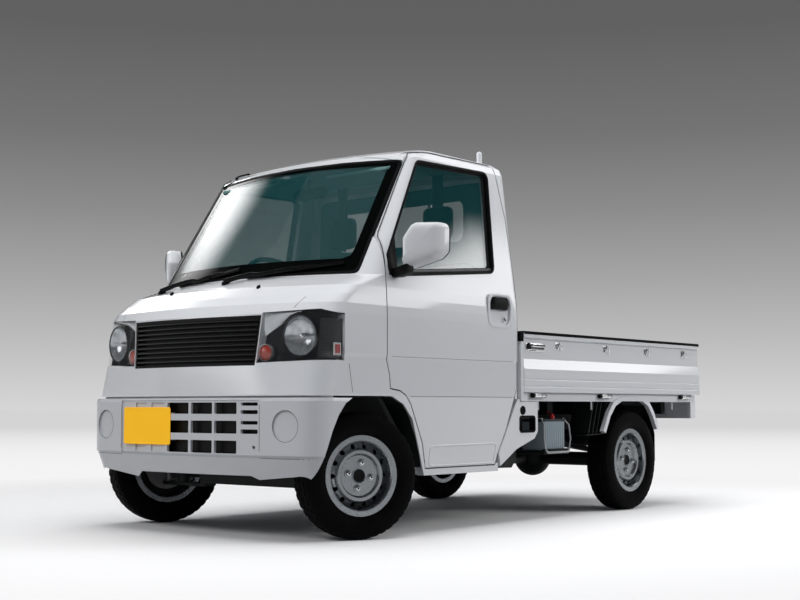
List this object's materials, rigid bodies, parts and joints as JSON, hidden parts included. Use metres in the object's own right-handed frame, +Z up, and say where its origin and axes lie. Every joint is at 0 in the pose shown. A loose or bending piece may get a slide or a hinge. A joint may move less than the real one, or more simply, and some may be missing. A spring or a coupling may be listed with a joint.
{
  "type": "light flatbed truck",
  "caption": "Small cab-over-axle flatbed truck with hinged doors, drop-side gates, a tailgate and steered front wheels on pressed steel rims.",
  "frame": {"origin": "on the ground, at the centre of the bounding box", "axes": "+Z up, front faces -Y, +X towards the vehicle's left side"},
  "size_m": [1.8272, 3.3925, 1.862],
  "materials": {
    "white_paint": "gloss",
    "tinted_glass": "clear",
    "clear_lens": "clear",
    "lamp_silver": "polished",
    "black_plastic": "fine grain",
    "dark_trim": "grained",
    "seat_fabric": "woven",
    "dark_steel": "satin",
    "cast_grey": "rough",
    "chassis_black": "satin",
    "wheel_silver": "satin",
    "tyre_rubber": "matte",
    "red_lens": "gloss"
  },
  "bodies": {
    "chassis": {"cab_front": "white_paint", "roof": "white_paint", "cab_rear": "white_paint", "side_frame_left": "white_paint", "side_frame_right": "white_paint", "windscreen": "tinted_glass", "rear_window": "tinted_glass", "headlamps": "lamp_silver", "headlamp_lenses": "clear_lens", "grille": "black_plastic", "front_bumper": "white_paint", "floor": "dark_trim", "dashboard": "dark_trim", "seat_cushions": "seat_fabric", "seat_backs": "seat_fabric", "head_restraints": "seat_fabric", "steering_column": "dark_trim", "bed_floor": "white_paint", "bed_front": "white_paint", "frame_rails": "chassis_black", "cross_members": "chassis_black", "rear_axle": "chassis_black", "leaf_springs": "dark_steel", "propeller_shaft": "dark_steel", "front_suspension": "chassis_black", "engine_block": "cast_grey", "fuel_tank": "chassis_black", "battery": "dark_trim", "exhaust": "dark_steel", "spare_wheel": "tyre_rubber", "skirts": "white_paint", "wheel_guards": "black_plastic", "arch_lips": "white_paint", "tail_panel": "white_paint", "buffers": "tyre_rubber", "rear_lamps": "red_lens", "wipers": "black_plastic"},
    "door_left": {"door_left": "white_paint", "door_glass_left": "tinted_glass", "mirror_left": "white_paint"},
    "door_right": {"door_right": "white_paint", "door_glass_right": "tinted_glass", "mirror_right": "white_paint"},
    "gate_left": {"gate_left": "white_paint"},
    "gate_right": {"gate_right": "white_paint"},
    "tailgate": {"tailgate": "white_paint"},
    "steering_wheel": {"steering_wheel": "black_plastic"},
    "steering_rack": {"steering_rack": "dark_steel"},
    "knuckle_left": {"knuckle_left": "cast_grey"},
    "knuckle_right": {"knuckle_right": "cast_grey"},
    "wheel_front_left": {"tyre_front_left": "tyre_rubber", "rim_front_left": "wheel_silver"},
    "wheel_front_right": {"tyre_front_right": "tyre_rubber", "rim_front_right": "wheel_silver"},
    "wheel_rear_left": {"tyre_rear_left": "tyre_rubber", "rim_rear_left": "wheel_silver"},
    "wheel_rear_right": {"tyre_rear_right": "tyre_rubber", "rim_rear_right": "wheel_silver"}
  },
  "joints": [
    {"name": "door_left_hinge", "type": "hinge", "parent": "chassis", "child": "door_left", "pos_m": [0.735, -1.182, 0.8], "axis": [0, 0, -1], "range_deg": [0, 65]},
    {"name": "door_right_hinge", "type": "hinge", "parent": "chassis", "child": "door_right", "pos_m": [-0.735, -1.182, 0.8], "axis": [0, 0, 1], "range_deg": [0, 65]},
    {"name": "gate_left_hinge", "type": "hinge", "parent": "chassis", "child": "gate_left", "pos_m": [0.733, 0.7, 0.618], "axis": [0, 1, 0], "range_deg": [0, 160]},
    {"name": "gate_right_hinge", "type": "hinge", "parent": "chassis", "child": "gate_right", "pos_m": [-0.733, 0.7, 0.618], "axis": [0, -1, 0], "range_deg": [0, 160]},
    {"name": "tailgate_hinge", "type": "hinge", "parent": "chassis", "child": "tailgate", "pos_m": [0, 1.6875, 0.618], "axis": [-1, 0, 0], "range_deg": [0, 150]},
    {"name": "steering_turn", "type": "hinge", "parent": "chassis", "child": "steering_wheel", "pos_m": [-0.355, -0.74, 1.2], "axis": [0, 0.5736, 0.8192], "range_deg": [-270, 990]},
    {"name": "kingpin_left", "type": "hinge", "parent": "chassis", "child": "knuckle_left", "pos_m": [0.59, -1.2695, 0.27], "axis": [0, 0, 1], "range_deg": [-15, 55]},
    {"name": "kingpin_right", "type": "hinge", "parent": "chassis", "child": "knuckle_right", "pos_m": [-0.59, -1.2695, 0.27], "axis": [0, 0, 1], "range_deg": [-15, 55]},
    {"name": "rack_slide", "type": "slide", "parent": "chassis", "child": "steering_rack", "axis": [1, 0, 0], "range_m": [-0.0948, 0.026]},
    {"name": "wheel_front_left_spin", "type": "hinge", "parent": "knuckle_left", "child": "wheel_front_left", "pos_m": [0.65108, -1.29173, 0.27], "axis": [0.9397, -0.342, 0], "continuous": true},
    {"name": "wheel_front_right_spin", "type": "hinge", "parent": "knuckle_right", "child": "wheel_front_right", "pos_m": [-0.65108, -1.24727, 0.27], "axis": [0.9397, -0.342, 0], "continuous": true},
    {"name": "wheel_rear_left_spin", "type": "hinge", "parent": "chassis", "child": "wheel_rear_left", "pos_m": [0.655, 0.915, 0.27], "axis": [1, 0, 0], "continuous": true},
    {"name": "wheel_rear_right_spin", "type": "hinge", "parent": "chassis", "child": "wheel_rear_right", "pos_m": [-0.655, 0.915, 0.27], "axis": [1, 0, 0], "continuous": true}
  ],
  "couplings": [
    {"joint": "kingpin_left", "follows": "steering_turn", "ratio": 0.055556},
    {"joint": "kingpin_right", "follows": "steering_turn", "ratio": 0.055556},
    {"joint": "rack_slide", "follows": "steering_turn", "m_per_rad": -0.0054778}
  ]
}
